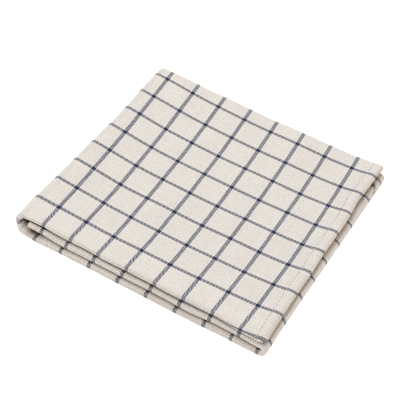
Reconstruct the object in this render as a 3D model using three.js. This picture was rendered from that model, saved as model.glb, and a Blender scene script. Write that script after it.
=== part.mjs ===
// A cloth napkin, folded and lying flat on a table.  Millimetres, +Z up.
//
// The napkin is one hemmed sheet.  It is folded in thirds across its width, which makes a
// strip of three layers, and the strip is then folded in thirds along its length.  Both are
// letter folds: one end is tucked inside and the other is laid over it.  That makes nine
// layers.  +X runs along the strip to its fold at the right, and +Y runs to the back.

import * as THREE from 'three';

// The sheet.
const sheetThickness = 1.0;
const hemThickness = 1.2;
const hemWidth = 6.5;
const hemStep = 0.8;
const tightFoldSqueeze = 0.85;

// The fold: centre to centre of two layers where the stack is pressed flat.
const layerPitch = 1.3;
const stripPitch = 3 * layerPitch;

// Outline of the folded napkin before it settles, and how far its hems stay inside.
const foldedLength = 158;
const foldedWidth = 135;
const topSetBack = 3.0;
const middleSetBack = 6.5;
const innerHemSetBack = 5.0;

// How the stack lies: its lower layers are further forward, more so at the left, and its
// left and front folds are a little askew.  Each is an offset at the ends of that edge.
// The two lower strips also reach a little further out at the front.
const lean = 3.8;
const leanSkew = 1.0;
const leftSkew = 4.0;
const frontSkew = 0.5;
const frontSpread = 0.9;

// Soft rises of the stack above its pressed height, as a share of it.
const swells = [
  { place: 'left fold', x: -86, y: 8, reachX: 34, reachY: 95, rise: 0.40 },
  { place: 'front fold', x: 6, y: -76, reachX: 90, reachY: 24, rise: 0.18 },
  { place: 'back fold', x: 0, y: 72, reachX: 90, reachY: 24, rise: 0.12 },
  { place: 'top hem', x: 84, y: -4, reachX: 22, reachY: 80, rise: 0.15 },
  { place: 'front right corner', x: 66, y: -52, reachX: 28, reachY: 26, rise: 0.07 },
  { place: 'back left corner', x: -60, y: 54, reachX: 32, reachY: 26, rise: 0.13 },
  { place: 'front left corner', x: -84, y: -72, reachX: 24, reachY: 20, rise: -0.25 },
];

// Places where a fold bulges out or is drawn in.
const bulges = [
  { place: 'right fold, middle', x: 79, y: 40, z: 4, reach: 16, height: 8, outX: -1.3, outY: 0 },
  { place: 'right fold, side', x: 79, y: -34, z: 4, reach: 28, height: 8, outX: -1.1, outY: 0 },
  { place: 'right fold, front', x: 79, y: -64, z: 4, reach: 20, height: 6, outX: -0.8, outY: 0 },
  { place: 'back right corner', x: 79, y: 66, z: 7, reach: 16, height: 14, outX: 1.5, outY: 1.6 },
  { place: 'left fold, front', x: -79, y: -64, z: 6, reach: 24, height: 10, outX: -1.0, outY: 0 },
  { place: 'left fold, middle', x: -79, y: 25, z: 8, reach: 30, height: 12, outX: 0.7, outY: 0 },
];

// Shallow waves along the folded edges.
const waves = [
  { edge: 'front', length: 71, offset: 12, size: 0.30 },
  { edge: 'front', length: 38, offset: 30, size: 0.20 },
  { edge: 'back', length: 58, offset: 5, size: 0.30 },
  { edge: 'left', length: 62, offset: 20, size: 0.25 },
  { edge: 'right', length: 49, offset: 8, size: 0.35 },
];
const edgeBand = 26;

// Radii of the folds, to the middle of what they turn.
const leftRadius = stripPitch;
const rightRadius = stripPitch / 2;
const backRadius = layerPitch / 2;
const frontRadius = layerPitch;

// Straight runs between the folds, worked out from the outline.
const stripHalf = layerPitch + sheetThickness / 2;
const rightEdge = foldedLength / 2;
const leftCentre = -foldedLength / 2 + leftRadius + stripHalf;
const rightCentre = foldedLength / 2 - rightRadius - stripHalf;
const topRun = rightEdge - topSetBack - leftCentre;
const bottomRun = rightCentre - leftCentre;
const middleRun = rightCentre - (-rightEdge + middleSetBack);

const frontCentre = -foldedWidth / 2 + frontRadius + sheetThickness / 2;
const backCentre = foldedWidth / 2 - backRadius - sheetThickness / 2;
const faceRun = backCentre - frontCentre;
const tuckedRun = faceRun - frontRadius;
const innerRun = faceRun - innerHemSetBack;

// Rows of the fold along the length of the cloth, from the hem on top to the tucked hem.
const lengthwiseRows = [
  { part: 'top hem', length: hemWidth, halfTurns: 0, steps: 1, hem: true },
  { part: 'top hem step', length: hemStep, halfTurns: 0, steps: 1 },
  { part: 'top panel', length: topRun - hemWidth - hemStep, halfTurns: 0, steps: 9 },
  { part: 'left fold', length: Math.PI * leftRadius, halfTurns: 1, steps: 10 },
  { part: 'bottom panel', length: bottomRun, halfTurns: 0, steps: 8 },
  { part: 'right fold', length: Math.PI * rightRadius, halfTurns: 1, steps: 8, tight: true },
  { part: 'middle panel', length: middleRun - hemWidth - hemStep, halfTurns: 0, steps: 8 },
  { part: 'middle hem step', length: hemStep, halfTurns: 0, steps: 1 },
  { part: 'middle hem', length: hemWidth, halfTurns: 0, steps: 1, hem: true },
];

// Rows of the fold across the width of the cloth, from the tucked hem to the inner hem.
const crosswiseRows = [
  { part: 'tucked hem', length: hemWidth, halfTurns: 0, steps: 1, hem: true },
  { part: 'tucked hem step', length: hemStep, halfTurns: 0, steps: 1 },
  { part: 'tucked layer', length: tuckedRun - hemWidth - hemStep, halfTurns: 0, steps: 6 },
  { part: 'back fold', length: Math.PI * backRadius, halfTurns: 1, steps: 6, tight: true },
  { part: 'face layer', length: faceRun, halfTurns: 0, steps: 8 },
  { part: 'front fold', length: Math.PI * frontRadius, halfTurns: 1, steps: 6 },
  { part: 'inner layer', length: innerRun - hemWidth - hemStep, halfTurns: 0, steps: 6 },
  { part: 'inner hem step', length: hemStep, halfTurns: 0, steps: 1 },
  { part: 'inner hem', length: hemWidth, halfTurns: 0, steps: 1, hem: true },
];

// Walks the rows of a letter fold.  Each station has its place in the plane of the fold, its
// heading, the row it ends, and the row that starts there.
function walkFold(rows, start) {
  const stations = [{ ...start, before: rows[0], after: rows[0] }];
  let { across, up, heading } = start;
  for (const row of rows) {
    const stepTurn = (row.halfTurns * Math.PI) / row.steps;
    const arc = row.length / row.steps;
    const chord = stepTurn ? (arc * Math.sin(stepTurn / 2)) / (stepTurn / 2) : arc;
    stations.at(-1).after = row;
    for (let step = 0; step < row.steps; step += 1) {
      across += chord * Math.cos(heading + stepTurn / 2);
      up += chord * Math.sin(heading + stepTurn / 2);
      heading += stepTurn;
      stations.push({ across, up, heading, before: row, after: row });
    }
  }
  return stations;
}

// Thickness of the sheet where two stations cross: thinner in a tight fold, thicker in a hem.
function thicknessAt(station, place) {
  const spots = [station, place];
  const tightFolds = spots.filter((spot) => spot.before.tight && spot.after.tight).length;
  if (tightFolds > 0) return sheetThickness * tightFoldSqueeze ** tightFolds;
  const inHem = spots.some((spot) => spot.before.hem || spot.after.hem);
  return inHem ? hemThickness : sheetThickness;
}

// Share of the way from one value to another, eased at both ends.
function ease(value, from, to) {
  const share = Math.min(Math.max((value - from) / (to - from), 0), 1);
  return share * share * (3 - 2 * share);
}

// How much of the settled stack's rise a place has, as a share of the pressed height.
function riseAt(x, y) {
  let rise = 0;
  for (const swell of swells) {
    const farX = (x - swell.x) / swell.reachX;
    const farY = (y - swell.y) / swell.reachY;
    rise += swell.rise * Math.exp(-farX * farX - farY * farY);
  }
  return rise;
}

// Sideways shift of a place by the waves of the edges and by the bulges.
function shiftAt(x, y, z) {
  const shares = {
    front: ease(-y, foldedWidth / 2 - edgeBand, foldedWidth / 2),
    back: ease(y, foldedWidth / 2 - edgeBand, foldedWidth / 2),
    left: ease(-x, rightEdge - edgeBand, rightEdge),
    right: ease(x, rightEdge - edgeBand, rightEdge),
  };
  const shift = { x: 0, y: 0 };
  for (const wave of waves) {
    const runsAlongX = wave.edge === 'front' || wave.edge === 'back';
    const along = runsAlongX ? x : y;
    const phase = (2 * Math.PI * (along + wave.offset)) / wave.length + z / stripPitch;
    shift[runsAlongX ? 'y' : 'x'] += wave.size * shares[wave.edge] * Math.sin(phase);
  }
  for (const bulge of bulges) {
    const farX = (x - bulge.x) / bulge.reach;
    const farY = (y - bulge.y) / bulge.reach;
    const farZ = (z - bulge.z) / bulge.height;
    const share = Math.exp(-farX * farX - farY * farY - farZ * farZ);
    shift.x += bulge.outX * share;
    shift.y += bulge.outY * share;
  }
  return shift;
}

// Turns the neat fold into the settled one.  It keeps the lowest layer on the table and the
// layers in their order, and moves each strip forward by its own height in the stack.
function settle(x, y, z, stripHeight) {
  const rest = sheetThickness / 2;
  const topStrip = rest + layerPitch + 2 * stripPitch;
  const endShare = x / rightEdge;
  const sideShare = y / (foldedWidth / 2);
  const shift = shiftAt(x, y, z);
  const stripsDown = (topStrip - stripHeight) / stripPitch;
  const spread = frontSpread * ease(stripsDown, 0, 1) * ease(-y, 0, foldedWidth / 2);
  const forward = (lean - leanSkew * endShare) * (stripsDown / 2 - 0.5) + spread;
  const askewY = frontSkew * endShare * ease(-sideShare, -1, 1);
  const askewX = leftSkew * sideShare * ease(-endShare, 0, 1);
  return new THREE.Vector3(
    x + shift.x + askewX,
    y + shift.y - forward - askewY,
    rest + (z - rest) * (1 + riseAt(x, y)),
  );
}

// Middle surface of the sheet, as a grid of points, with the sheet's thickness at each.
function middleSurface() {
  const lengthwise = walkFold(lengthwiseRows, {
    across: rightEdge - topSetBack,
    up: sheetThickness / 2 + 2 * stripPitch + layerPitch,
    heading: Math.PI,
  });
  const crosswise = walkFold(crosswiseRows, {
    across: backCentre - tuckedRun,
    up: 0,
    heading: 0,
  });
  return lengthwise.map((station) => crosswise.map((place) => {
    const outX = Math.sin(station.heading);
    const outZ = -Math.cos(station.heading);
    const point = settle(
      station.across + outX * place.up,
      place.across,
      station.up + outZ * place.up,
      station.up,
    );
    return { point, thickness: thicknessAt(station, place) };
  }));
}

// Normal of the middle surface at a grid point, towards the outer side of the fold.
function normalAt(grid, row, column) {
  const before = grid[Math.max(row - 1, 0)][column].point;
  const after = grid[Math.min(row + 1, grid.length - 1)][column].point;
  const under = grid[row][Math.max(column - 1, 0)].point;
  const over = grid[row][Math.min(column + 1, grid[row].length - 1)].point;
  const along = new THREE.Vector3().subVectors(after, before);
  const aside = new THREE.Vector3().subVectors(over, under);
  return aside.cross(along).normalize();
}

// Closed sheet about the middle surface: two faces, and a rim that joins their borders.
function sheetGeometry() {
  const grid = middleSurface();
  const rows = grid.length;
  const columns = grid[0].length;
  const positions = [];
  for (const side of [1, -1]) {
    for (let row = 0; row < rows; row += 1) {
      for (let column = 0; column < columns; column += 1) {
        const { point, thickness } = grid[row][column];
        const offset = normalAt(grid, row, column).multiplyScalar((side * thickness) / 2);
        positions.push(...offset.add(point).toArray());
      }
    }
  }

  const indices = [];
  const vertex = (side, row, column) => side * rows * columns + row * columns + column;
  const addQuad = (a, b, c, d) => indices.push(a, b, c, a, c, d);
  for (let row = 0; row < rows - 1; row += 1) {
    for (let column = 0; column < columns - 1; column += 1) {
      addQuad(vertex(0, row, column), vertex(0, row, column + 1),
        vertex(0, row + 1, column + 1), vertex(0, row + 1, column));
      addQuad(vertex(1, row, column), vertex(1, row + 1, column),
        vertex(1, row + 1, column + 1), vertex(1, row, column + 1));
    }
  }
  for (let row = 0; row < rows - 1; row += 1) {
    addQuad(vertex(0, row, 0), vertex(0, row + 1, 0), vertex(1, row + 1, 0), vertex(1, row, 0));
    addQuad(vertex(0, row + 1, columns - 1), vertex(0, row, columns - 1),
      vertex(1, row, columns - 1), vertex(1, row + 1, columns - 1));
  }
  for (let column = 0; column < columns - 1; column += 1) {
    addQuad(vertex(0, 0, column + 1), vertex(0, 0, column), vertex(1, 0, column),
      vertex(1, 0, column + 1));
    addQuad(vertex(0, rows - 1, column), vertex(0, rows - 1, column + 1),
      vertex(1, rows - 1, column + 1), vertex(1, rows - 1, column));
  }

  const geometry = new THREE.BufferGeometry();
  geometry.setAttribute('position', new THREE.Float32BufferAttribute(positions, 3));
  geometry.setIndex(indices);
  geometry.computeVertexNormals();
  return geometry;
}

const cloth = new THREE.MeshStandardMaterial({
  color: 0xe5ded6,
  roughness: 0.95,
  metalness: 0,
});

const napkin = new THREE.Mesh(sheetGeometry(), cloth);
napkin.name = 'napkin';
napkin.geometry.computeBoundingBox();

// The origin is under the middle of the napkin, on the table.
const middle = napkin.geometry.boundingBox.getCenter(new THREE.Vector3());
napkin.position.set(-middle.x, -middle.y, -napkin.geometry.boundingBox.min.z);

const foldedNapkin = new THREE.Group();
foldedNapkin.add(napkin);

export default foldedNapkin;
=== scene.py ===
import math

import bpy
import numpy as np
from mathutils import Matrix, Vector


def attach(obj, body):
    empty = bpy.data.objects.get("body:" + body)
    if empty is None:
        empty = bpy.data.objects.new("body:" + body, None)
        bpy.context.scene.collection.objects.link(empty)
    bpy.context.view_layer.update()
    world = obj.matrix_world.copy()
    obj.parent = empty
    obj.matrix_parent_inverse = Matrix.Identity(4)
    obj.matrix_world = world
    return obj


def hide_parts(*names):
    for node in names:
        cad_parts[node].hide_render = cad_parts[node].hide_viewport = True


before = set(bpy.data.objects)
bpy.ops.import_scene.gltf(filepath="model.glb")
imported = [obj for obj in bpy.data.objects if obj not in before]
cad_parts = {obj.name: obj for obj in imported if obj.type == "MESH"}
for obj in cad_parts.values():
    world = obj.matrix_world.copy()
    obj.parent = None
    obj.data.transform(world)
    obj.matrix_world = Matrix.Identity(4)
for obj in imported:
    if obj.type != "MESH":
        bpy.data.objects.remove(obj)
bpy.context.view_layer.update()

mm = 0.001


# A table: the names of its columns, then its rows.
def table(columns, *rows):
    return [dict(zip(columns.split(), row, strict=True)) for row in rows]


# The napkin: one hemmed sheet in a letter fold both ways.  Sizes are in millimetres.
napkinCloth = {
    "thickness": 1.0,
    "hemThickness": 1.22,
    "hemWidth": 6.5,
    "hemStep": 0.9,
    "edgeRounding": 0.6,
    "edgeThinnest": 0.12,
    "tightSqueeze": 0.86,
    "squeezeRamp": 6,
    "layerPitch": 1.3,
    "foldedLength": 158,
    "foldedWidth": 135,
    "topSetBack": 3.0,
    "middleSetBack": 8.5,
    "innerSetBack": 5.0,
    "lean": 3.8,
    "leanSkew": 1.0,
    "leftSkew": 4.0,
    "frontSkew": 0.5,
    "frontSpread": 0.9,
    "centreX": 1.9629,
    "centreY": 0.3276,
}

# Soft rises of the stack, as a share of its pressed height.
swells = table(
    "place x y reachX reachY rise",
    ("left fold", -86, 8, 34, 95, 0.40),
    ("front fold", 6, -76, 90, 24, 0.18),
    ("back fold", 0, 72, 90, 24, 0.12),
    ("top hem", 84, -4, 22, 80, 0.15),
    ("front right corner", 66, -52, 28, 26, 0.07),
    ("back left corner", -60, 54, 32, 26, 0.13),
    ("front left corner", -84, -72, 24, 20, -0.25),
)

# Places where a fold bulges out or is drawn in.
bulges = table(
    "place at reach height out",
    ("right fold, middle", (79, 40, 4), 16, 8, (-0.85, 0)),
    ("right fold, hollow", (79, -4, 4), 12, 8, (-0.8, 0)),
    ("right fold, swell", (79, 31, 4), 14, 8, (0.7, 0)),
    ("right fold, low swell", (79, -20, 4), 9, 8, (0.35, 0)),
    ("right fold, side", (79, -34, 4), 28, 8, (-1.0, 0)),
    ("right fold, front", (79, -64, 4), 20, 6, (-1.0, 0)),
    ("right fold, back corner", (79, 68, 5), 8, 5, (-0.2, 1.5)),
    ("back right corner", (79, 66, 7), 16, 14, (1.1, 1.6)),
    ("left fold, front", (-79, -64, 6), 24, 10, (-1.0, 0)),
    ("left fold, tip", (-78, -68, 2), 9, 3, (1.1, 0)),
    ("left fold, middle", (-79, 25, 8), 30, 12, (0.7, 0)),
)

# Shallow waves along the folded edges.
waves = table(
    "edge length offset size",
    ("front", 71, 12, 0.30),
    ("front", 38, 30, 0.20),
    ("back", 58, 5, 0.30),
    ("left", 62, 20, 0.25),
    ("right", 49, 8, 0.35),
)
edgeBand = 26

# How much further out than the solid the two upper rolls of the front edge reach.
frontRolls = table(
    "x top middle",
    (-82, 2.2, -0.2), (-72, 1.4, -0.1), (-61, 0.3, -0.1), (-43, 1.1, 0.0), (-25, 1.6, 0.5),
    (11, 1.0, 0.2), (47, 1.1, -0.2), (62, 1.9, -0.2), (76, 1.9, 0.0),
)
# How much further out than the solid the outline of each edge reaches, place by place.
outline = {
    "front": table(
        "x out",
        (-82, 0.2), (-73, 0.3), (-64, 1.6), (-56, 1.2), (-48, 0.5), (-36, 0.2), (-24, 0.45),
        (-8, 0.65), (4, 0.85), (13, 1.0), (23, 0.6), (31, 0.2), (42, -0.25), (53, 0.2),
        (60, 0.45), (75, 0.1),
    ),
    "back": table(
        "x out",
        (-72, -0.6), (-61, 0.2), (-45, 0.65), (-37, 0.6), (-22, 0.4), (-14, 0.15), (8, 0.25),
        (16, 0.55), (23, 0.3), (30, 0.3), (40, 0.0), (52, 0.15), (59, 0.3), (66, 0.6),
        (76, 0.85),
    ),
    "left": table(
        "y out",
        (-70, 0.3), (-61, 0.2), (-53, -0.2), (-45, -0.35), (-26, -0.2), (-14, -0.5), (3, -0.75),
        (11, -0.5), (20, -0.45), (28, 0.05), (37, 0.1), (46, 0.5), (55, 0.25), (64, 0.45),
    ),
    "right": table(
        "y out",
        (-70, 0.4), (-64, 0.4), (-56, 0.0), (-48, -0.25), (-40, -0.05), (-32, 0.25),
        (-16, -0.05), (-7, 0.2), (1, -0.05), (10, -0.25), (19, -0.1), (46, -0.05), (55, -0.35),
        (65, -0.3),
    ),
}
# How far in from each edge its outline starts to move, and where it moves in full.
outlineBand = {"front": 30, "back": 24, "left": 24, "right": 20, "full": 4}
# How much further out than the solid the hem on top reaches.
topHemReach = table(
    "y out",
    (-70, 0.9), (-54, 0.95), (-44, 1.2), (-36, 1.0), (-27, 0.55), (-20, 0.4), (-12, 0.5),
    (7, 0.9), (20, 0.5), (38, -0.8), (46, 0.0), (52, 0.35), (58, 0.2), (64, 0.6), (66, 0.4),
    (67.5, -0.8),
)

# The gap under the top hem: how far the cloth below is pressed down, and how far out from the
# hem's edge the painted shade reaches on it.
hemGap = table(
    "y down shade",
    (-56, 0.0, 0.15), (-42, 0.45, 0.3), (-26, 0.2, 0.25), (4, 1.25, 0.9), (38, 1.6, 1.6),
    (52, 1.4, 1.2),
)
# Painted shade about single places of the sheet, and fine creases along short paths.  A shade
# of 0 to 1 darkens the cloth with painted shade, 1 to 2 blends it into the painted dark of a
# shadowed hollow, and one below 0 fades the painted shade of the creases, and below -0.5 the
# stripes as well.
shadePlaces = table(
    "place part at reach shade",
    ("roll of the bottom strip", "bottom", (0, -70.3, 2.4), (220, 2.2, 2.7), 0.32),
    ("roll of the top strip", "top", (0, -69, 12.5), (220, 4, 3.5), 0.16),
    ("right fold, front", "right fold", (81.2, -50, 4.5), (2.0, 20, 4), 0.8),
    ("right fold, back", "right fold", (82.3, 46, 3.5), (2.4, 20, 4.5), 0.65),
    ("left tip, edge", "left fold", (-80.2, -67.0, 7.0), (3.0, 6, 3.4), -0.95),
    ("lip of the top hem", "top", (76.9, -57, 13), (1.1, 13, 4), 0.24),
    ("upper crease, above", "top", (-44, -66.1, 10.5), (42, 2.2, 1.1), -0.45),
    ("upper crease, below", "middle", (-44, -65.6, 8.3), (42, 2.2, 1.0), -0.45),
    ("lower crease, above", "middle", (-34, -67.9, 5.0), (40, 2.2, 1.2), -0.4),
    ("lower crease, below", "bottom", (-34, -68.2, 4.2), (40, 2.2, 1.0), -0.5),
    ("left tip, upper", "left fold", (-76.8, -62.3, 4.2), (3.5, 3.0, 4), 2.1),
    ("left tip, lower", "bottom", (-70.0, -66.2, 2.4), (5.0, 2.1, 2.0), 2.6),
    ("right fold, buckle", "right fold", (77.6, 59.0, 7.2), (1.2, 1.4, 1.6), 1.5),
)
fineCreases = [
    {"place": "right fold, buckle", "part": "right fold",
     "path": [(77.5, 59.5, 7.0), (79.4, 59.4, 6.2), (80.8, 58.0, 5.4), (81.0, 55.6, 4.6)],
     "width": 0.75, "depth": 0.6, "shade": 1.6},
]

thickness = napkinCloth["thickness"]
layerPitch = napkinCloth["layerPitch"]
stripPitch = 3 * layerPitch
hemWidth, hemStep = napkinCloth["hemWidth"], napkinCloth["hemStep"]
foldedLength, foldedWidth = napkinCloth["foldedLength"], napkinCloth["foldedWidth"]
rightEdge = foldedLength / 2

leftRadius, rightRadius = stripPitch, stripPitch / 2
backRadius, frontRadius = layerPitch / 2, layerPitch
stripHalf = layerPitch + thickness / 2
leftCentre = -rightEdge + leftRadius + stripHalf
rightCentre = rightEdge - rightRadius - stripHalf
frontCentre = -foldedWidth / 2 + frontRadius + thickness / 2
backCentre = foldedWidth / 2 - backRadius - thickness / 2
topRun = rightEdge - napkinCloth["topSetBack"] - leftCentre
bottomRun = rightCentre - leftCentre
middleRun = rightCentre + rightEdge - napkinCloth["middleSetBack"]
faceRun = backCentre - frontCentre
backRun = 22   # the part of the face near the back edge, which has finer columns
tuckedRun = faceRun - frontRadius
innerRun = faceRun - napkinCloth["innerSetBack"]
edgeRows, edgeRun = (0.06, 0.12, 0.2, 0.32, 0.5), 1.2


# Rows of a hem from its free edge inwards: closer together where the edge is rounded.
def hemRows(layer, run, steps):
    rows = [(layer, length, 0, 1) for length in edgeRows]
    rows.append((layer, hemWidth - edgeRun, 0, 5))
    rows.append((layer, hemStep, 0, 3))
    rows.append((layer, run - hemWidth - hemStep, 0, steps))
    return rows


lengthwiseRows = [
    *hemRows("top", topRun, 68),
    ("left fold", math.pi * leftRadius, 1, 20),
    ("bottom", bottomRun, 0, 58),
    ("right fold", math.pi * rightRadius, 1, 16),
    *reversed(hemRows("middle", middleRun, 44)),
]
crosswiseRows = [
    *hemRows("tucked", tuckedRun, 32),
    ("back fold", math.pi * backRadius, 1, 10),
    ("face", backRun, 0, 24),
    ("face", faceRun - backRun, 0, 54),
    ("front fold", math.pi * frontRadius, 1, 14),
    *reversed(hemRows("inner", innerRun, 34)),
]


# Walks the rows of a letter fold and gives its stations.
def walkFold(rows, across, up, heading):
    stations = [(across, up, heading, 0.0)]
    names, turned, flat = [rows[0][0]], [0.0], 0.0
    for name, length, halfTurns, steps in rows:
        turn = halfTurns * math.pi / steps
        arc = length / steps
        chord = arc * math.sin(turn / 2) / (turn / 2) if turn else arc
        for step in range(steps):
            across += chord * math.cos(heading + turn / 2)
            up += chord * math.sin(heading + turn / 2)
            heading += turn
            flat += arc
            stations.append((across, up, heading, flat))
            names.append(name)
            turned.append((step + 1) / steps if halfTurns else 0.0)
    across, up, heading, flat = np.array(stations).T
    return {
        "across": across, "up": up, "heading": heading, "flat": flat,
        "name": np.array(names), "turned": np.array(turned),
    }


def ease(value, start, end):
    share = np.clip((value - start) / (end - start), 0, 1)
    return share * share * (3 - 2 * share)


# A column of a table, read at places along another column.
def tableAt(rows, along, column, places):
    return np.interp(places, [row[along] for row in rows], [row[column] for row in rows])


# How much higher a place of the settled stack is, as a share of the pressed height.
def riseAt(x, y):
    return sum(
        s["rise"] * np.exp(-((x - s["x"]) / s["reachX"]) ** 2 - ((y - s["y"]) / s["reachY"]) ** 2)
        for s in swells
    )


# Sideways shift of a place by the waves of the edges and by the bulges.
def shiftAt(x, y, z):
    band = {
        "front": ease(-y, foldedWidth / 2 - edgeBand, foldedWidth / 2),
        "back": ease(y, foldedWidth / 2 - edgeBand, foldedWidth / 2),
        "left": ease(-x, rightEdge - edgeBand, rightEdge),
        "right": ease(x, rightEdge - edgeBand, rightEdge),
    }
    shiftX, shiftY = np.zeros_like(x), np.zeros_like(x)
    for wave in waves:
        alongX = wave["edge"] in ("front", "back")
        along = x if alongX else y
        phase = 2 * math.pi * (along + wave["offset"]) / wave["length"] + z / stripPitch
        push = wave["size"] * band[wave["edge"]] * np.sin(phase)
        if alongX:
            shiftY = shiftY + push
        else:
            shiftX = shiftX + push
    for b in bulges:
        atX, atY, atZ = b["at"]
        far = ((x - atX) / b["reach"]) ** 2 + ((y - atY) / b["reach"]) ** 2
        share = np.exp(-far - ((z - atZ) / b["height"]) ** 2)
        shiftX, shiftY = shiftX + b["out"][0] * share, shiftY + b["out"][1] * share
    return shiftX, shiftY


# Turns the neat fold into the settled one, and puts it in the frame of the solid.
def settle(x, y, z, stripHeight):
    rest = thickness / 2
    topStrip = rest + layerPitch + 2 * stripPitch
    endShare, sideShare = x / rightEdge, y / (foldedWidth / 2)
    shiftX, shiftY = shiftAt(x, y, z)
    stripsDown = (topStrip - stripHeight) / stripPitch
    leanHere = napkinCloth["lean"] - napkinCloth["leanSkew"] * endShare
    spread = napkinCloth["frontSpread"] * ease(stripsDown, 0, 1) * ease(-y, 0, foldedWidth / 2)
    ofTop, ofMiddle = np.clip(1 - stripsDown, 0, 1), np.clip(1 - abs(stripsDown - 1), 0, 1)
    reach = (tableAt(frontRolls, "x", "top", x) * ofTop
             + tableAt(frontRolls, "x", "middle", x) * ofMiddle
             + tableAt(outline["front"], "x", "out", x) * np.clip(stripsDown - 1, 0, 1))
    full, half = outlineBand["full"], foldedWidth / 2
    reach *= ease(-y, half - outlineBand["front"], half - full)
    outBack = tableAt(outline["back"], "x", "out", x)
    outLeft = tableAt(outline["left"], "y", "out", y)
    outRight = tableAt(outline["right"], "y", "out", y)
    reach -= outBack * ofTop * ease(y, half - outlineBand["back"], half - full)
    shiftX = shiftX - outLeft * ease(-x, rightEdge - outlineBand["left"], rightEdge - full)
    atRight = ease(x, rightEdge - outlineBand["right"], rightEdge - full)
    shiftX += outRight * (1 - ofTop) * atRight
    forward = leanHere * (stripsDown / 2 - 0.5) + spread + reach
    askewY = napkinCloth["frontSkew"] * endShare * ease(-sideShare, -1, 1)
    askewX = napkinCloth["leftSkew"] * sideShare * ease(-endShare, 0, 1)
    return np.stack([
        x + shiftX + askewX + napkinCloth["centreX"],
        y + shiftY - forward - askewY + napkinCloth["centreY"],
        rest + (z - rest) * (1 + riseAt(x, y)),
    ], -1)


lengthwise = walkFold(lengthwiseRows, rightEdge - napkinCloth["topSetBack"],
                      thickness / 2 + 2 * stripPitch + layerPitch, math.pi)
crosswise = walkFold(crosswiseRows, backCentre - tuckedRun, 0, 0)
flatLength, flatWidth = lengthwise["flat"][-1], crosswise["flat"][-1]
print("stations", len(lengthwise["flat"]), "x", len(crosswise["flat"]),
      "flat sheet", round(flatLength), "x", round(flatWidth), "mm")

# Grids of the sheet: rows go along its length, columns across its width.
flatS, flatP = np.meshgrid(lengthwise["flat"], crosswise["flat"], indexing="ij")
partS, partP = np.meshgrid(lengthwise["name"], crosswise["name"], indexing="ij")
acrossS, acrossP = np.meshgrid(lengthwise["across"], crosswise["across"], indexing="ij")
upS, upP = np.meshgrid(lengthwise["up"], crosswise["up"], indexing="ij")
headingS = np.broadcast_to(lengthwise["heading"][:, None], flatS.shape)
turnedS, turnedP = np.meshgrid(lengthwise["turned"], crosswise["turned"], indexing="ij")
edgeS = np.minimum(flatS, flatLength - flatS)
edgeP = np.minimum(flatP, flatWidth - flatP)

# Soft shaping that the plain folds don't have.
softness = {
    "tuckedPull": 5.2,
    "innerPull": 4.8,
    "hemPullReach": 16,
    "hemOutReach": 26,
    "hemDroop": 1.0,
    "hemDroopReach": 2.8,
    "tipAt": -71,
    "tipReach": 8,
    "tipRise": 0.7,
    "tipPinch": 0.45,
    "pressedHeight": 8,
    "lipFrom": 4,
    "lipThickness": 1.75,
    "lipRounding": 1.2,
    "lipShade": 0.45,
    "rollSwell": 0.5,
    "rollEven": 0.7,
    "rollUneven": 0.6,
    "rollReach": 22,
    "rollSeed": 5,
    "panelRelief": 0.22,
    "panelEven": 0.9,
    "panelReach": 30,
    "panelSeed": 11,
}
# Where effects start and end, in millimetres towards the side that each name says.  Only
# gapOut is in shares of the shade's reach.
fades = {
    "tipFront": (52, 64),
    "pressedRight": (73.5, 77.5),
    "gapRight": (70, 73),
    "gapUp": (3, 6),
    "gapBack": (-66, -60),
    "gapOut": (-0.15, 1),
    "lipBack": (58, 66),
    "lipIn": (0.2, 2.4),
    "hemDriftRight": (63, 75),
    "tipDriftLeft": (64, 80),
    "tipDriftFront": (50, 64),
    "narrowerBack": (0, 40),
    "foldDriftRight": (50, 74),
    "underFront": (50, 62),
}


# How far an effect has come at a place, from 0 to 1.
def fade(name, place):
    return ease(place, *fades[name])


pull = np.select(
    [partP == "tucked", partP == "back fold", partP == "face", partP == "front fold"],
    [
        softness["tuckedPull"], softness["tuckedPull"] * (1 - turnedP),
        0.0, softness["innerPull"] * turnedP,
    ],
    softness["innerPull"],
)
atTopHem = (partS == "top") * ease(-flatS, -softness["hemPullReach"], 0)
hemOut = tableAt(topHemReach, "y", "out", acrossP)
acrossS = acrossS - pull * atTopHem
acrossS = acrossS + hemOut * (partS == "top") * ease(-flatS, -softness["hemOutReach"], 0)

points = settle(
    acrossS + np.sin(headingS) * upP, acrossP, upS - np.cos(headingS) * upP, upS
)

# The face layer of the top hem rolls down over the shorter layers under it.
droop = (partS == "top") * np.clip(1 - flatS / softness["hemDroopReach"], 0, 1) ** 2
onFace = np.select([partP == "face", partP == "back fold", partP == "front fold"],
                   [1.0, turnedP, 1 - turnedP], 0.0)
points[..., 2] -= softness["hemDroop"] * droop * onFace
# At the left tip the middle strip rises and the bottom strip is pinched.
heightBefore = points[..., 2].copy()
tip = np.exp(-((points[..., 0] - softness["tipAt"]) / softness["tipReach"]) ** 2)
tip *= fade("tipFront", -points[..., 1])
middleUp = np.clip((heightBefore - stripPitch) / stripPitch, 0, 1)
points[..., 2] += softness["tipRise"] * tip * (partS == "middle") * (1 - middleUp)
pinched = softness["tipPinch"] * tip * (partS == "bottom")
points[..., 2] -= (heightBefore - thickness / 2) * pinched
# The lower strips are pressed down under the top hem.
pressed = fade("pressedRight", points[..., 0]) * (partS != "top")
pressed *= np.clip(points[..., 2] / softness["pressedHeight"], 0, 1)
points[..., 2] -= pressed * tableAt(hemGap, "y", "down", points[..., 1])

# The line of the top hem's edge, from the front to the back.
faceColumns = crosswise["name"] == "face"
hemEdge = points[0, faceColumns, 1][::-1], points[0, faceColumns, 0][::-1]


# Normals of a grid of points, towards the inner side of the fold.
def gridNormals(grid):
    along, aside = np.gradient(grid, axis=0), np.gradient(grid, axis=1)
    normals = np.cross(aside, along)
    return normals / np.linalg.norm(normals, axis=-1, keepdims=True)


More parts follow.
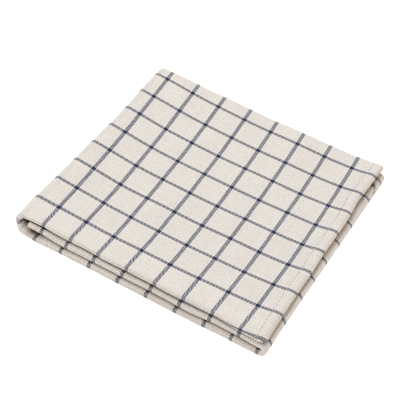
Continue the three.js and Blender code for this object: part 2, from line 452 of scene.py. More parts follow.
# Smooth waves that never repeat within the sheet, between -1 and 1.
def ripple(u, v, reach, seed, waveCount=7):
    random = np.random.default_rng(seed)
    total = np.zeros_like(u)
    for _ in range(waveCount):
        angle, phase = random.uniform(0, math.pi), random.uniform(0, 2 * math.pi)
        step = 2 * math.pi / (reach * random.uniform(0.7, 1.6))
        total += np.sin(step * (u * math.cos(angle) + v * math.sin(angle)) + phase)
    return total / (waveCount / 2)


normals = gridNormals(points)
rollShare = np.sin(np.pi * turnedP) ** 2 * (partP == "front fold")
uneven = ripple(flatS, flatP * 0, softness["rollReach"], softness["rollSeed"])
rollSwell = softness["rollEven"] + softness["rollUneven"] * uneven
rollSwell = softness["rollSwell"] * rollShare * rollSwell


# How near the points of a grid lie to a short path, from 0 to 1.
def nearPath(grid, path, width):
    nearest = np.full(grid.shape[:2], np.inf)
    for start, end in zip(np.array(path[:-1], float), np.array(path[1:], float)):
        step = end - start
        share = np.clip((grid - start) @ step / (step @ step), 0, 1)[..., None]
        nearest = np.minimum(nearest, np.linalg.norm(grid - start - share * step, axis=-1))
    return np.exp(-(nearest / width) ** 2)


fineShade = np.zeros_like(flatS)
for crease in fineCreases:
    share = nearPath(points - normals * thickness / 2, crease["path"], crease["width"])
    share = share * (partS == crease["part"])
    points += normals * (crease["depth"] * share)[..., None]
    fineShade += crease["shade"] * share
topFace = (partS == "top") * onFace
uneven = ripple(acrossS, acrossP, softness["panelReach"], softness["panelSeed"])
relief = softness["panelRelief"] * topFace * (softness["panelEven"] + uneven)
points += normals * (rollSwell + relief)[..., None]

# Thickness: thicker in the hems, squeezed in the tight folds, rounded at the free edges.
inHem = np.maximum(1 - ease(edgeS, hemWidth, hemWidth + hemStep),
                   1 - ease(edgeP, hemWidth, hemWidth + hemStep))
sheetThickness = (thickness + (napkinCloth["hemThickness"] - thickness) * inHem) * (1 - pinched)
topLip = (partS == "top") * onFace * (1 - ease(flatS, softness["lipFrom"], hemWidth))
sheetThickness = sheetThickness + (softness["lipThickness"] - napkinCloth["hemThickness"]) * topLip
for name, part, turned in (("right fold", partS, turnedS), ("back fold", partP, turnedP)):
    squeeze = np.minimum(1, napkinCloth["squeezeRamp"] * turned * (1 - turned)) * (part == name)
    tight = (1 - squeeze) * sheetThickness + squeeze * thickness * napkinCloth["tightSqueeze"]
    sheetThickness = np.minimum(sheetThickness, tight)
edgeRounding = napkinCloth["edgeRounding"]
rounding = edgeRounding + (softness["lipRounding"] - edgeRounding) * topLip
for edge in (edgeS, edgeP):
    inward = np.clip(edge / rounding, 0, 1)
    rounded = np.sqrt(1 - (1 - inward) ** 2)
    sheetThickness = sheetThickness * np.maximum(rounded, napkinCloth["edgeThinnest"])
normals = gridNormals(points)

# The painted shade of each place: on the fold below the top hem, on the rounded lip of the
# hem, in the fine creases and about the places of the table.
hemLineX = np.interp(points[..., 1], *hemEdge)
below = (partS != "top") * fade("gapRight", points[..., 0])
below = below * fade("gapUp", points[..., 2]) * fade("gapBack", points[..., 1])
shadeTo = tableAt(hemGap, "y", "shade", points[..., 1])
hemShade = below * (1 - fade("gapOut", (points[..., 0] - hemLineX) / shadeTo))
lipShade = softness["lipShade"] * (1 + fade("lipBack", points[..., 1]))
hemShade += lipShade * topLip * (1 - fade("lipIn", flatS)) + fineShade
for place in shadePlaces:
    far = ((points - place["at"]) / place["reach"]) ** 2
    hemShade += place["shade"] * np.exp(-far.sum(-1)) * (partS == place["part"])
print("folds settled")

# The weave's own coordinates, in millimetres of cloth.  Wide stripes lie at whole repeats of
# U, and thin stripes at whole repeats of V.
checkPattern = {
    "repeatU": 18.0,
    "repeatV": 16.0,
    "gridX": 1.943,
    "gridY": 5.168,
    "bottomPhase": -0.13,
    "middlePhase": -0.04,
    "underPhaseV": -0.19,
    "rollTake": 1.5,
    "takeUpRun": 13,
    "middleRepeat": 3.5,
    "stripRepeats": 9,
    "driftEnds": (-1.2, 1.05),
    "hemShift": 1.0,
    "tipShift": 3.5,
    "backNarrowing": 0.4,
    "leftFoldSlower": 0.6,
    "leftFoldSlowAt": 0.42,
    "underFrom": 0.5,
    "underSooner": 0.22,
}
# How far the stripes of the top face drift from an even grid, along X and along Y: a smooth
# curve over the shares of the face, where xx is the square of the share along X, and so on.
topDrift = table(
    "even x y xx yy xy",
    (0.75, 0.20, -0.10, -0.88, -1.09, -0.13),
    (-0.33, -0.35, -0.31, 1.02, -0.32, -0.80),
)
# Extra cloth taken up by the top strip's front roll, in millimetres of the pattern.
topRollDrift = table(
    "x extra",
    (-80, 7.4), (-72, 4.6), (-62, 2.6), (40, 2.8), (60, 2.6), (80, 2.2),
)
# Where the thin stripes cross the fold at the right, counted in repeats: straight, as woven.
rightFoldDrift = table(
    "straight woven",
    (-1.4, -1.6), (-0.75, -1.0), (0.21, 0.0), (1.35, 1.0), (2.19, 2.0), (3.08, 3.0),
    (4.01, 4.0), (4.91, 5.0), (6.29, 6.0), (7.21, 7.0), (8.3, 8.1),
)
# How far along X the wide stripes of the lower strips lie from even spacing.
lowerDrift = table(
    "x middle bottom",
    (-61, -1.9, -3.5), (-43, -2.9, -3.8), (-25, -2.5, -2.7), (-7, -1.8, -2.0), (11, -1.8, -1.9),
    (29, -1.4, -1.4), (47, -1.3, -2.0), (65, -1.2, -4.0), (76, -1.2, -6.0),
)
repeatU, repeatV = checkPattern["repeatU"], checkPattern["repeatV"]
fromX = points[..., 0] - checkPattern["gridX"]
fromY = points[..., 1] - checkPattern["gridY"]
middleRepeat, stripRepeats = checkPattern["middleRepeat"], checkPattern["stripRepeats"]
shareX = np.clip(fromX / (middleRepeat * repeatU), *checkPattern["driftEnds"])
shareY = fromY / (middleRepeat * repeatV)
driftX, driftY = (
    drift["even"] + drift["x"] * shareX + drift["y"] * shareY
    + drift["xx"] * shareX**2 + drift["yy"] * shareY**2 + drift["xy"] * shareX * shareY
    for drift in topDrift
)
driftY += checkPattern["hemShift"] * fade("hemDriftRight", fromX)
topU = middleRepeat * repeatU - (fromX - driftX)
tipDrift = checkPattern["tipShift"] * fade("tipDriftLeft", -points[..., 0])
topU -= tipDrift * fade("tipDriftFront", -points[..., 1])
driftMiddle = tableAt(lowerDrift, "x", "middle", points[..., 0])
driftBottom = tableAt(lowerDrift, "x", "bottom", points[..., 0])
bottomStart = (middleRepeat - checkPattern["bottomPhase"]) * repeatU
middleStart = (middleRepeat + checkPattern["middlePhase"]) * repeatU
bottomU = stripRepeats * repeatU + fromX - driftBottom + bottomStart
middleU = 2 * stripRepeats * repeatU + middleStart - (fromX - driftMiddle)
topV = middleRepeat * repeatV + fromY - driftY
underV = (middleRepeat + checkPattern["underPhaseV"]) * repeatV + fromY
foldV = tableAt(rightFoldDrift, "straight", "woven", middleRepeat + fromY / repeatV)
# The stripes on the right fold get narrower towards the back.
narrower = checkPattern["backNarrowing"] * fade("narrowerBack", points[..., 1])
foldV = repeatV * (foldV + narrower * np.sin(2 * math.pi * foldV) / (2 * math.pi))


# Fills a fold's rows between the rows on either side of it, slower about one place.
def acrossFold(values, name, slower=0.0, at=0.0):
    rows = np.where(lengthwise["name"] == name)[0]
    before, after = values[rows[0] - 1], values[rows[-1] + 1]
    share = lengthwise["turned"][rows][:, None]
    turn = 2 * math.pi
    share = share - slower * (np.sin(turn * (share - at)) + math.sin(turn * at)) / turn
    values[rows] = before * (1 - share) + after * share


isTop, isBottom, isMiddle = partS == "top", partS == "bottom", partS == "middle"
clothU = np.select([isTop, isBottom, isMiddle], [topU, bottomU, middleU], 0.0)
acrossFold(clothU, "left fold", checkPattern["leftFoldSlower"], checkPattern["leftFoldSlowAt"])
acrossFold(clothU, "right fold")
leftShare = np.where(partS == "left fold", turnedS, 0.0)
atFront = fade("underFront", -points[..., 1])
underFrom, sooner = checkPattern["underFrom"], checkPattern["underSooner"] * atFront
toUnder = ease((leftShare - underFrom + sooner) / (underFrom - sooner), 0, 1)
nearRight = np.where(isTop, 0.0, fade("foldDriftRight", points[..., 0]))
clothV = np.select(
    [isTop, partS == "left fold"],
    [topV, topV + (underV - topV) * toUnder],
    underV * (1 - nearRight) + foldV * nearRight,
)
# Round the front and back folds the pattern follows the outer side of the cloth.
firstFace = np.where(crosswise["name"] == "face")[0][0]
lastFace = np.where(crosswise["name"] == "face")[0][-1]
flatColumns = crosswise["flat"]
takeUp = np.interp(
    flatColumns,
    [flatColumns[lastFace], flatColumns[lastFace] + math.pi * frontRadius],
    [0, (checkPattern["rollTake"] - 1) * math.pi * frontRadius],
)
extra = tableAt(topRollDrift, "x", "extra", points[..., 0])
extra *= (isTop | (partS == "left fold")) * (1 - toUnder)
takeUpFrom = flatColumns[lastFace] - checkPattern["takeUpRun"]
clothV += extra * ease(flatP, takeUpFrom, flatColumns[lastFace]) * (partP == "face")
beyond = flatColumns - flatColumns[lastFace] + takeUp
clothV[:, lastFace + 1:] = clothV[:, [lastFace]] - beyond[lastFace + 1:]
clothV[:, :firstFace] = clothV[:, [firstFace]] + (flatColumns[firstFace] - flatColumns[:firstFace])
print("pattern laid out")


# A closed sheet about a grid of points: an outer face, an inner face and a rim.
def buildSheet(name, grid, normals, thickness, layers, shade):
    rows, columns = grid.shape[:2]
    offset = normals * (thickness / 2)[..., None]
    vertices = np.concatenate([(grid + offset).reshape(-1, 3), (grid - offset).reshape(-1, 3)])
    index = np.arange(rows * columns).reshape(rows, columns)
    under = index + rows * columns
    a, b, c, d = index[:-1, :-1], index[:-1, 1:], index[1:, 1:], index[1:, :-1]
    e, f, g, h = under[:-1, :-1], under[:-1, 1:], under[1:, 1:], under[1:, :-1]
    quads = [np.stack([a, b, c, d], -1).reshape(-1, 4), np.stack([e, h, g, f], -1).reshape(-1, 4)]
    for top, low, flip in (
        (index[:, 0], under[:, 0], False), (index[:, -1], under[:, -1], True),
        (index[0, :], under[0, :], True), (index[-1, :], under[-1, :], False),
    ):
        rim = [top[:-1], top[1:], low[1:], low[:-1]]
        quads.append(np.stack(rim[::-1] if flip else rim, -1))
    faces = np.concatenate(quads)
    mesh = bpy.data.meshes.new(name)
    mesh.from_pydata((vertices * mm).tolist(), [], faces.tolist())
    mesh.polygons.foreach_set("use_smooth", np.ones(len(faces), bool))
    corners = faces.ravel()
    for layerName, (u, v) in layers.items():
        uv = np.stack([np.tile(u.ravel(), 2), np.tile(v.ravel(), 2)], -1)[corners]
        mesh.uv_layers.new(name=layerName).uv.foreach_set("vector", uv.ravel().astype(np.float32))
    values = np.tile(shade.ravel(), 2).astype(np.float32)
    mesh.attributes.new("hemShade", "FLOAT", "POINT").data.foreach_set("value", values)
    mesh.validate()
    piece = bpy.data.objects.new(name, mesh)
    bpy.context.scene.collection.objects.link(piece)
    return piece


cloth = buildSheet(
    "foldedCloth", points, normals, sheetThickness,
    {"clothWeave": (clothU * mm, clothV * mm), "clothFlat": (flatS * mm, flatP * mm)}, hemShade,
)
print("sheet built,", len(cloth.data.polygons) * 2, "triangles")


# Short helpers for node trees.  The inputs of a node go by name or by place.
def feed(tree, target, source):
    if isinstance(source, bpy.types.NodeSocket):
        tree.links.new(source, target)
    else:
        target.default_value = source


def setInputs(tree, node, inputs):
    for label, source in inputs.items():
        feed(tree, node.inputs[label], source)
    return node


def addNode(tree, kind, inputs=None, **settings):
    node = tree.nodes.new(kind)
    for key, value in settings.items():
        setattr(node, key, value)
    return setInputs(tree, node, inputs or {})


def mathNode(tree, operation, *sources, clamp=False):
    return addNode(tree, "ShaderNodeMath", inputs=dict(enumerate(sources)),
                   operation=operation, use_clamp=clamp).outputs[0]


# Sums, differences, products and quotients as nodes of one tree.
def arithmetic(tree):
    def operation(name):
        return lambda *sources, **settings: mathNode(tree, name, *sources, **settings)
    return [operation(name) for name in ("ADD", "SUBTRACT", "MULTIPLY", "DIVIDE")]


def combine(tree, x, y, z=0.0):
    return addNode(tree, "ShaderNodeCombineXYZ", inputs={0: x, 1: y, 2: z}).outputs[0]


def noise(tree, vector, scale=1.0, detail=2.0, roughness=0.5):
    return addNode(tree, "ShaderNodeTexNoise", noise_dimensions="3D", inputs={
        "Vector": vector, "Scale": scale, "Detail": detail, "Roughness": roughness,
    }).outputs[0]


def mapRange(tree, value, start, end):
    return addNode(tree, "ShaderNodeMapRange", inputs={
        "Value": value, "From Min": start, "From Max": end,
    }).outputs[0]


# The names of a mix node's sockets repeat, so these go by place.
def mixColours(tree, factor, first, second, blend="MIX"):
    return addNode(tree, "ShaderNodeMix", data_type="RGBA", blend_type=blend,
                   inputs={0: factor, 6: first, 7: second}).outputs[2]


def scaleColour(tree, colour, factor):
    return addNode(tree, "ShaderNodeVectorMath", operation="SCALE",
                   inputs={0: colour, "Scale": factor}).outputs[0]


# A node group with its input and output nodes.  A number makes a float socket of that value,
# and a word names another kind of socket.
def nodeGroup(name, inputs, outputs, kind="ShaderNodeTree"):
    group = bpy.data.node_groups.new(name, kind)
    for label, value in inputs.items():
        word = value if isinstance(value, str) else "Float"
        socket = group.interface.new_socket(
            name=label, in_out="INPUT", socket_type="NodeSocket" + word)
        if word == "Float":
            socket.default_value = value
    for label in outputs:
        word = "Geometry" if label == "Geometry" else "Float"
        group.interface.new_socket(name=label, in_out="OUTPUT", socket_type="NodeSocket" + word)
    given = addNode(group, "NodeGroupInput")
    return group, given, addNode(group, "NodeGroupOutput")


def newMaterial(name):
    material = bpy.data.materials.new(name)
    material.use_nodes = True
    return material, material.node_tree, material.node_tree.nodes["Principled BSDF"]


# How single yarns wander and vary in tone.
yarns = {
    "wanderAcross": 0.5,
    "wanderAlong": 0.35,
    "slubStep": 3.7,
    "slubAlong": 0.22,
    "ownTone": 0.7,
    "slubTone": 2.2,
    "sharedHeight": 0.6,
    "ownHeight": 0.4,
    "gapWidth": 0.35,
}


# One set of parallel yarns: which yarn a place is on, its dyed stripe, its shape and its slubs.
def makeYarnSet():
    tree, given, out = nodeGroup("yarnSet", {
        "Across": 0.0, "Along": 0.0, "Pitch": 0.5, "Repeat yarns": 36.0, "Dyed yarns": 4.0,
        "Wander": 0.1, "Seed": 0.0,
    }, ("Index", "Stripe", "Profile", "Tone"))
    add, subtract, multiply, divide = arithmetic(tree)
    along, pitch, seed = (given.outputs[label] for label in ("Along", "Pitch", "Seed"))
    wavy = noise(tree, combine(
        tree, multiply(given.outputs["Across"], yarns["wanderAcross"]),
        multiply(along, yarns["wanderAlong"]), seed))
    across = add(given.outputs["Across"], multiply(subtract(wavy, 0.5), given.outputs["Wander"]))
    halfStripe = multiply(multiply(given.outputs["Dyed yarns"], 0.5), pitch)
    counted = divide(add(across, halfStripe), pitch)
    index = mathNode(tree, "FLOOR", counted)
    inYarn = subtract(subtract(counted, index), 0.5)
    repeat = mathNode(tree, "FLOORED_MODULO", index, given.outputs["Repeat yarns"])
    ownTone = addNode(tree, "ShaderNodeTexWhiteNoise", noise_dimensions="2D",
                      inputs={"Vector": combine(tree, index, seed)}).outputs["Value"]
    slub = noise(tree, combine(tree, multiply(index, yarns["slubStep"]),
                               multiply(along, yarns["slubAlong"]), seed),
                 detail=3.0, roughness=0.6)
    setInputs(tree, out, {
        "Index": index,
        "Stripe": mathNode(tree, "LESS_THAN", repeat,
                           subtract(given.outputs["Dyed yarns"], 0.5)),
        "Profile": mathNode(tree, "COSINE", multiply(inYarn, math.pi)),
        "Tone": add(multiply(subtract(ownTone, 0.5), yarns["ownTone"]),
                    multiply(subtract(slub, 0.5), yarns["slubTone"])),
    })
    return tree


# A plain weave of two yarn sets, with their dyed stripes.
def makePlainWeave(yarnSet):
    tree, given, out = nodeGroup("plainWeave", {
        "Place": "Vector", "Pitch U": 0.5, "Pitch V": 0.45, "Repeat yarns U": 40.0,
        "Repeat yarns V": 36.0, "Dyed yarns U": 5.0, "Dyed yarns V": 4.0, "Wander": 0.1,
        "Show through": 0.2,
    }, ("Dyed", "Stripe", "Height", "Tone", "Gap"))
    add, subtract, multiply, _ = arithmetic(tree)
    split = addNode(tree, "ShaderNodeSeparateXYZ", inputs={0: given.outputs["Place"]}).outputs
    first, second = (
        addNode(tree, "ShaderNodeGroup", node_tree=yarnSet, inputs={
            "Across": split[own], "Along": split[1 - own],
            "Pitch": given.outputs["Pitch " + axis],
            "Repeat yarns": given.outputs["Repeat yarns " + axis],
            "Dyed yarns": given.outputs["Dyed yarns " + axis],
            "Wander": given.outputs["Wander"], "Seed": seed,
        }).outputs
        for own, axis, seed in ((0, "U", 3.0), (1, "V", 8.0))
    )
    parity = mathNode(tree, "FLOORED_MODULO", add(first["Index"], second["Index"]), 2.0)
    over = mathNode(tree, "LESS_THAN", parity, 0.5)   # the first set's yarns lie on top

    def pick(label, upper, lower):
        return addNode(tree, "ShaderNodeMix", data_type="FLOAT",
                       inputs={0: over, 2: lower[label], 3: upper[label]}).outputs[0]

    product = multiply(first["Profile"], second["Profile"])
    height = add(multiply(mathNode(tree, "SQRT", product), yarns["sharedHeight"]),
                 multiply(pick("Profile", first, second), yarns["ownHeight"]))
    covered = mathNode(tree, "MAXIMUM", product, 0.0)
    gap = subtract(1.0, mathNode(tree, "POWER", covered, yarns["gapWidth"]))
    # A dyed yarn that passes under still shows round and through the yarn above it.
    through = given.outputs["Show through"]
    seen = add(through, multiply(subtract(1.0, through), gap))
    under = multiply(pick("Stripe", second, first), seen)
    setInputs(tree, out, {
        "Dyed": mathNode(tree, "MAXIMUM", pick("Stripe", first, second), under),
        "Stripe": mathNode(tree, "MAXIMUM", first["Stripe"], second["Stripe"]),
        "Height": height,
        "Tone": pick("Tone", first, second),
        "Gap": gap,
    })
    return tree


# Needle holes and the dip of the stitched line of a hem, from the flat sheet's coordinates.
def makeHemLine():
    tree, given, out = nodeGroup("hemLine", {
        "From edge": 0.0, "Along": 0.0, "Line": 5.6, "Stitch": 2.4, "Width": 0.5,
    }, ("Dip", "Hole"))
    add, subtract, multiply, divide = arithmetic(tree)
    away = subtract(given.outputs["From edge"], given.outputs["Line"])
    far = divide(away, given.outputs["Width"])
    farSquared = multiply(far, far)
    turn = multiply(divide(given.outputs["Along"], given.outputs["Stitch"]), 2 * math.pi)
    atEnd = add(multiply(mathNode(tree, "COSINE", turn), 0.5), 0.5)
    setInputs(tree, out, {
        "Dip": mathNode(tree, "EXPONENT", multiply(farSquared, -1.0)),
        "Hole": multiply(
            mathNode(tree, "EXPONENT", multiply(farSquared, -stitching["holeSharpAcross"])),
            mathNode(tree, "POWER", atEnd, stitching["holeSharpAlong"])),
    })
    return tree


clothFinish = {
    "cream": (0.600, 0.564, 0.524, 1),
    "creamShade": (0.470, 0.418, 0.368, 1),
    "creamInStripes": (0.576, 0.556, 0.546, 1),
    "navy": (0.009, 0.0165, 0.053, 1),
    "showThrough": 0.03,
    "repeatYarnsU": 40,
    "repeatYarnsV": 36,
    "dyedYarnsU": 5,
    "dyedYarnsV": 4,
    "wander": 0.14,
    "slubStrength": 0.10,
    "gapStrength": 0.28,
    "broadScale": 0.06,
    "broadTone": 0.10,
    "fineScale": 1.1,
    "fineTone": 0.16,
    "creaseReach": 6,
    "paintedShadeTint": (0.66, 0.55, 0.46, 1),
    "creaseStart": 0.68,
    "creaseEnd": 0.0,
    "stripeInCreaseShade": (0.022, 0.018, 0.022, 1),
    "darkenStripes": 0.8,
    "darkenStart": 0.80,
    "darkenEnd": 0.42,
    "hemShade": 0.75,
    "hollow": (0.10, 0.075, 0.055, 1),
    "hole": (0.16, 0.12, 0.09, 1),
    "holeScale": 0.3,
    "holeFrom": 0.38,
    "holeContrast": 3.0,
    "holeDepth": 0.15,
    "weaveDepth": 0.09,
    "hemDipDepth": 0.32,
    "roughness": 0.88,
    "specular": 0.2,
    "sheen": 0.18,
    "sheenRoughness": 0.5,
}
stitching = {
    "line": 5.8,
    "pitch": 2.4,
    "length": 1.9,
    "shortest": 0.88,
    "longest": 1.06,
    "width": 0.36,
    "height": 0.26,
    "sink": 0.05,
    "probe": 0.4,
    "segments": 7,
    "rings": 6,
    "holeSharpAcross": 3.0,
    "holeSharpAlong": 6.0,
    "seed": 4,
    "thread": (0.41, 0.36, 0.315, 1),
    "paleThread": (0.60, 0.56, 0.515, 1),
    "patchScale": 150.0,
    "patchFrom": 0.40,
    "patchTo": 0.54,
    "fibreScale": 2500.0,
    "fibreDepth": 0.05,
    "darkest": 0.85,
    "fibreTone": 0.3,
    "roughness": 0.7,
    "sheen": 0.2,
}


def makeClothMaterial(weave, hemLine):
    material, tree, shader = newMaterial("checkedCloth")
    add, subtract, multiply, _ = arithmetic(tree)

    # Millimetres of the pattern, and of the flat sheet.
    place, flat = (
        addNode(tree, "ShaderNodeMapping", inputs={
            "Vector": addNode(tree, "ShaderNodeUVMap", uv_map=name).outputs[0],
            "Scale": (1000, 1000, 1000),
        }).outputs[0]
        for name in ("clothWeave", "clothFlat")
    )
    counts = {}
    for axis in ("U", "V"):
        repeatYarns = clothFinish["repeatYarns" + axis]
        counts["Pitch " + axis] = checkPattern["repeat" + axis] / repeatYarns
        counts["Repeat yarns " + axis] = repeatYarns
        counts["Dyed yarns " + axis] = clothFinish["dyedYarns" + axis]
    woven = addNode(tree, "ShaderNodeGroup", node_tree=weave, inputs={
        "Place": place, "Wander": clothFinish["wander"],
        "Show through": clothFinish["showThrough"], **counts,
    }).outputs

    split = addNode(tree, "ShaderNodeSeparateXYZ", inputs={0: flat}).outputs
    lines = [
        addNode(tree, "ShaderNodeGroup", node_tree=hemLine, inputs={
            "From edge": mathNode(tree, "MINIMUM", split[own], subtract(whole, split[own])),
            "Along": split[1 - own], "Line": stitching["line"], "Stitch": stitching["pitch"],
        }).outputs
        for own, whole in ((0, flatLength), (1, flatWidth))
    ]
    dip, hole = (
        mathNode(tree, "MAXIMUM", *(line[label] for line in lines)) for label in ("Dip", "Hole")
    )

    broad = noise(tree, place, clothFinish["broadScale"], detail=3.0)
    fine = noise(tree, place, clothFinish["fineScale"], detail=3.0, roughness=0.65)
    tone = add(multiply(woven["Tone"], clothFinish["slubStrength"]),
               add(multiply(subtract(broad, 0.5), clothFinish["broadTone"]),
                   multiply(subtract(fine, 0.5), clothFinish["fineTone"])))
    # Painted shade in the gaps between the yarns.
    inGaps = multiply(woven["Gap"], clothFinish["gapStrength"], clamp=True)
    undyed = mixColours(tree, inGaps, clothFinish["cream"], clothFinish["creamShade"])
    undyed = mixColours(tree, woven["Stripe"], undyed, clothFinish["creamInStripes"])

    # Painted shade: the more enclosed a place is, the darker and browner its colour is painted,
    # on top of the rendered shading, and the stripes are painted near-black where they dive into
    # a crease.
    openness = addNode(tree, "ShaderNodeAmbientOcclusion", samples=8, inputs={
        "Distance": clothFinish["creaseReach"] * mm}).outputs["AO"]
    creaseShade = mapRange(tree, openness, clothFinish["creaseStart"], clothFinish["creaseEnd"])
    near = mapRange(tree, openness, clothFinish["darkenStart"], clothFinish["darkenEnd"])
    stripesInShade = multiply(multiply(near, woven["Stripe"]), clothFinish["darkenStripes"])
    # The sheet's own painted shade, from its hemShade attribute.
    shade = addNode(tree, "ShaderNodeAttribute", attribute_name="hemShade").outputs["Fac"]
    # A shade below 0 takes the painted crease shade away, and one below -0.5 the stripes as well.
    tintKept = add(shade, 1.0, clamp=True)
    stripesKept = mathNode(tree, "MULTIPLY_ADD", shade, 2.0, 2.0, clamp=True)

    colour = mixColours(tree, multiply(woven["Dyed"], stripesKept), undyed, clothFinish["navy"])
    # Painted shade on the stripes where they run into a crease.
    colour = mixColours(tree, multiply(stripesInShade, stripesKept), colour,
                        clothFinish["stripeInCreaseShade"])
    colour = scaleColour(tree, colour, add(1.0, tone))
    # Painted shade in the needle holes, in patches.
    uneven = noise(tree, place, clothFinish["holeScale"])
    uneven = multiply(subtract(uneven, clothFinish["holeFrom"]), clothFinish["holeContrast"],
                      clamp=True)
    colour = mixColours(tree, multiply(hole, uneven), colour, clothFinish["hole"])
    # Painted shade in the creases and from the sheet's hemShade attribute.
    shadeTint = clothFinish["paintedShadeTint"]
    colour = mixColours(tree, multiply(creaseShade, tintKept), colour, shadeTint, "MULTIPLY")
    shaded = multiply(shade, clothFinish["hemShade"], clamp=True)
    colour = mixColours(tree, shaded, colour, shadeTint, "MULTIPLY")
    # Shades over 1 blend into the painted dark of a shadowed hollow.
    inHollowShadow = subtract(shade, 1.0, clamp=True)
    colour = mixColours(tree, inHollowShadow, colour, clothFinish["hollow"])

    sunk = add(multiply(dip, clothFinish["hemDipDepth"]), multiply(hole, clothFinish["holeDepth"]))
    height = subtract(multiply(woven["Height"], clothFinish["weaveDepth"]), sunk)
    bump = addNode(tree, "ShaderNodeBump", inputs={
        "Strength": 1.0, "Distance": mm, "Height": height})
    setInputs(tree, shader, {
        "Base Color": colour, "Normal": bump.outputs[0], "Roughness": clothFinish["roughness"],
        "Specular IOR Level": clothFinish["specular"], "Sheen Weight": clothFinish["sheen"],
        "Sheen Roughness": clothFinish["sheenRoughness"],
    })
    return material


yarnSet = makeYarnSet()
plainWeave = makePlainWeave(yarnSet)
hemLine = makeHemLine()
clothMaterial = makeClothMaterial(plainWeave, hemLine)
cloth.data.materials.append(clothMaterial)
print("cloth finish made")


# Points of the folded sheet at flat places, by the grid's own stations.
def sheetAt(grid, s, p):
    row = np.clip(np.searchsorted(lengthwise["flat"], s) - 1, 0, grid.shape[0] - 2)
    column = np.clip(np.searchsorted(crosswise["flat"], p) - 1, 0, grid.shape[1] - 2)
    lowS, lowP = lengthwise["flat"][row], crosswise["flat"][column]
    shareS = (s - lowS) / (lengthwise["flat"][row + 1] - lowS)
    shareP = (p - lowP) / (crosswise["flat"][column + 1] - lowP)
    if grid.ndim == 3:
        shareS, shareP = shareS[:, None], shareP[:, None]
    return ((1 - shareS) * (1 - shareP) * grid[row, column]
            + shareS * (1 - shareP) * grid[row + 1, column]
            + (1 - shareS) * shareP * grid[row, column + 1]
            + shareS * shareP * grid[row + 1, column + 1])


# One point for each stitch of each hem, on both faces, with its direction and its normal.
def stitchPoints():
    line, pitch, probe = stitching["line"], stitching["pitch"], stitching["probe"]

    def evenly(whole):
        return np.arange(math.ceil(line / pitch) + 0.5, (whole - line) / pitch - 0.5) * pitch

    acrossSheet, alongSheet = evenly(flatWidth), evenly(flatLength)
    rows = [(np.full_like(acrossSheet, s), acrossSheet, 0, 1) for s in (line, flatLength - line)]
    rows += [(alongSheet, np.full_like(alongSheet, p), 1, 0) for p in (line, flatWidth - line)]
    places, directions, facing = [], [], []
    for s, p, stepS, stepP in rows:
        here = sheetAt(points, s, p)
        ahead = sheetAt(points, s + probe * stepS, p + probe * stepP)
        back = sheetAt(points, s - probe * stepS, p - probe * stepP)
        normal = sheetAt(normals, s, p)
        normal /= np.linalg.norm(normal, axis=1, keepdims=True)
        half = sheetAt(sheetThickness, s, p)[:, None] / 2
        for side in (1, -1):
            places.append(here + side * normal * (half - stitching["sink"]))
            directions.append(ahead - back)
            facing.append(side * normal)
    return np.concatenate(places), np.concatenate(directions), np.concatenate(facing)


# Puts one short thread on each point, along its direction and flat on the cloth.
def makeStitchTree():
    tree, given, out = nodeGroup("stitchRow", {
        "Geometry": "Geometry", "Length": 0.002, "Width": 0.0004, "Height": 0.0003,
        "Seed": "Int", "Thread": "Material",
    }, ("Geometry",), "GeometryNodeTree")
    ball = addNode(tree, "GeometryNodeMeshUVSphere", {
        "Segments": stitching["segments"], "Rings": stitching["rings"], "Radius": 0.5})
    turned = addNode(tree, "GeometryNodeTransform", {
        "Geometry": ball.outputs["Mesh"], "Rotation": (0, math.pi / 2, 0)})   # poles along X
    direction, facing = (
        addNode(tree, "GeometryNodeInputNamedAttribute", {"Name": name},
                data_type="FLOAT_VECTOR").outputs["Attribute"]
        for name in ("direction", "facing")
    )
    alongAxis = addNode(tree, "FunctionNodeAlignRotationToVector", {
        "Vector": direction}, axis="X")
    onCloth = addNode(tree, "FunctionNodeAlignRotationToVector", {
        "Rotation": alongAxis.outputs[0], "Vector": facing}, axis="Z", pivot_axis="X")
    vary = addNode(tree, "FunctionNodeRandomValue", {
        2: stitching["shortest"], 3: stitching["longest"], "Seed": given.outputs["Seed"],
    }, data_type="FLOAT")
    length = mathNode(tree, "MULTIPLY", given.outputs["Length"], vary.outputs[1])
    size = combine(tree, length, given.outputs["Width"], given.outputs["Height"])
    placed = addNode(tree, "GeometryNodeInstanceOnPoints", {
        "Points": given.outputs["Geometry"], "Instance": turned.outputs[0],
        "Rotation": onCloth.outputs[0], "Scale": size,
    })
    real = addNode(tree, "GeometryNodeRealizeInstances", {0: placed.outputs[0]})
    smooth = addNode(tree, "GeometryNodeSetShadeSmooth", {0: real.outputs[0]})
    finish = addNode(tree, "GeometryNodeSetMaterial", {
        "Geometry": smooth.outputs[0], "Material": given.outputs["Thread"]})
    feed(tree, out.inputs[0], finish.outputs[0])
    return tree


def makeThreadMaterial():
    material, tree, shader = newMaterial("sewingThread")
    place = addNode(tree, "ShaderNodeTexCoord").outputs["Object"]
    fibres = noise(tree, place, stitching["fibreScale"], detail=3.0)
    lighter = mathNode(tree, "MULTIPLY", fibres, stitching["fibreTone"])
    tone = mathNode(tree, "ADD", stitching["darkest"], lighter)
    # In patches the thread keeps a pale colour like the cloth's, and elsewhere it is painted
    # darker, as painted shade about the stitches.
    patches = mapRange(tree, noise(tree, place, stitching["patchScale"], detail=1.0),
                       stitching["patchFrom"], stitching["patchTo"])
    sewn = mixColours(tree, patches, stitching["thread"], stitching["paleThread"])
    bump = addNode(tree, "ShaderNodeBump", inputs={
        "Distance": stitching["fibreDepth"] * mm, "Height": fibres})
    setInputs(tree, shader, {
        "Base Color": scaleColour(tree, sewn, tone), "Normal": bump.outputs[0],
        "Roughness": stitching["roughness"], "Sheen Weight": stitching["sheen"],
    })
    return material


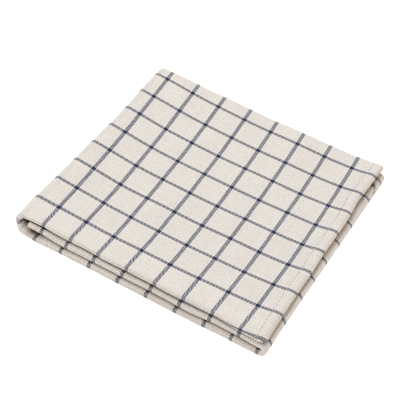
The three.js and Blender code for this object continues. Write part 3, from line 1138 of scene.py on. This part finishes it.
def buildStitches():
    places, directions, facing = stitchPoints()
    mesh = bpy.data.meshes.new("stitchPlaces")
    mesh.from_pydata((places * mm).tolist(), [], [])
    for name, values in (("direction", directions), ("facing", facing)):
        mesh.attributes.new(name, "FLOAT_VECTOR", "POINT").data.foreach_set(
            "vector", values.ravel().astype(np.float32))
    carrier = bpy.data.objects.new("stitchPlaces", mesh)
    bpy.context.scene.collection.objects.link(carrier)
    tree = makeStitchTree()
    modifier = carrier.modifiers.new("stitches", "NODES")
    modifier.node_group = tree
    given = {
        "Length": stitching["length"] * mm, "Width": stitching["width"] * mm,
        "Height": stitching["height"] * mm, "Seed": stitching["seed"],
        "Thread": makeThreadMaterial(),
    }
    for item in tree.interface.items_tree:
        if item.in_out == "INPUT" and item.name in given:
            modifier[item.identifier] = given[item.name]
    evaluated = carrier.evaluated_get(bpy.context.evaluated_depsgraph_get())
    made = bpy.data.meshes.new_from_object(evaluated)
    bpy.data.objects.remove(carrier)
    made.name = "hemStitches"
    stitches = bpy.data.objects.new("hemStitches", made)
    bpy.context.scene.collection.objects.link(stitches)
    return stitches


stitches = buildStitches()
print("stitches made,", sum(len(p.vertices) - 2 for p in stitches.data.polygons), "triangles")

for piece in (cloth, stitches):
    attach(piece, "root")
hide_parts("napkin")

# The floor, the light and the camera.
studio = {
    "floorSize": 8,
    "floorColour": (0.40, 0.40, 0.40, 1),
    "floorRoughness": 0.9,
    "floorGlow": 1.12,
    "glowColour": (1, 0.97, 0.935, 1),
    "skyStrength": 0.67,
    "skyColour": (1, 0.99, 0.97, 1),
    "keyPower": 18.0,
    "keySize": 1.6,
    "keyAt": (-0.22, 0.20, 1.2),
    "fillPower": 0.85,
    "fillSize": 1.2,
    "fillAt": (0.7, -0.9, 0.8),
    "azimuth": 31.27,
    "elevation": 51.65,
    "distance": 0.6624,
    "focal": 106.2,
    "sensor": 36,
    "nearest": 0.01,
    "furthest": 20,
    "aim": (0.001153, -0.004422, 0.0112),
    "filterWidth": 1.2,
}


def makeFloor():
    bpy.ops.mesh.primitive_plane_add(size=studio["floorSize"])
    floor = bpy.context.object
    floor.name = "floor"
    material, tree, shader = newMaterial("paleFloor")
    setInputs(tree, shader, {
        "Base Color": studio["floorColour"], "Roughness": studio["floorRoughness"],
        "Emission Color": studio["glowColour"], "Emission Strength": studio["floorGlow"],
    })
    floor.data.materials.append(material)
    return floor


def makeAreaLight(name, power, size, at):
    light = bpy.data.lights.new(name, "AREA")
    light.energy, light.size = power, size
    lamp = bpy.data.objects.new(name, light)
    lamp.location = at
    lamp.rotation_euler = (-Vector(at)).to_track_quat("-Z", "Y").to_euler()
    bpy.context.scene.collection.objects.link(lamp)


floor = makeFloor()
makeAreaLight("keyLight", studio["keyPower"], studio["keySize"], studio["keyAt"])
makeAreaLight("fillLight", studio["fillPower"], studio["fillSize"], studio["fillAt"])
world = bpy.data.worlds.new("softSky")
world.use_nodes = True
setInputs(world.node_tree, world.node_tree.nodes["Background"], {
    "Color": studio["skyColour"], "Strength": studio["skyStrength"],
})
bpy.context.scene.world = world
bpy.context.scene.view_settings.view_transform = "Standard"
bpy.context.scene.cycles.use_denoising = False   # it would wipe out the weave
bpy.context.scene.cycles.filter_width = studio["filterWidth"]

camera = bpy.data.cameras.new("camera")
camera.lens, camera.sensor_width = studio["focal"], studio["sensor"]
camera.clip_start, camera.clip_end = studio["nearest"], studio["furthest"]
cameraObject = bpy.data.objects.new("camera", camera)
azimuth, elevation = math.radians(studio["azimuth"]), math.radians(studio["elevation"])
back = Vector((math.sin(azimuth) * math.cos(elevation), -math.cos(azimuth) * math.cos(elevation),
               math.sin(elevation)))
cameraObject.location = Vector(studio["aim"]) + back * studio["distance"]
cameraObject.rotation_euler = (-back).to_track_quat("-Z", "Y").to_euler()
bpy.context.scene.collection.objects.link(cameraObject)
bpy.context.scene.camera = cameraObject
print("studio ready")
